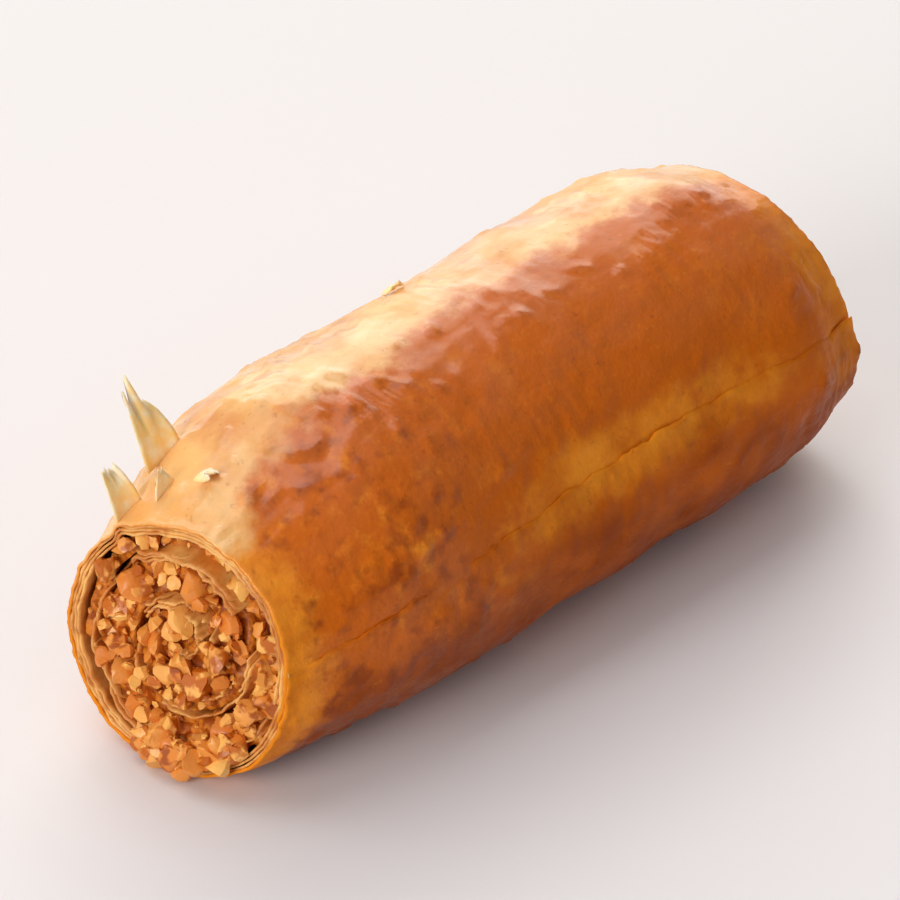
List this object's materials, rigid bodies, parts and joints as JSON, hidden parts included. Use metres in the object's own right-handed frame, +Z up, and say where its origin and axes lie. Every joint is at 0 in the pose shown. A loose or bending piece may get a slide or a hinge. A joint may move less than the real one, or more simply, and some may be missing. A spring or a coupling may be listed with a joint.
{
  "type": "baklava nut finger",
  "caption": "Short finger cut from a roll of baked phyllo pastry, with a spiral inner leaf and a chopped nut filling that shows at both cut ends.",
  "frame": {"origin": "on the flat underside, below the middle of the finger's box", "axes": "+X along the finger, away from the cut end that the picture shows; +Z up; the side with the free edge of the sheet faces -Y"},
  "size_m": [0.0446, 0.019, 0.0177],
  "materials": {
    "phyllo_roll": "baked and glazed with syrup",
    "nut_filling": "chopped, moist with syrup"
  },
  "bodies": {
    "root": {"phyllo_roll": "phyllo_roll", "nut_filling": "nut_filling"}
  },
  "joints": []
}
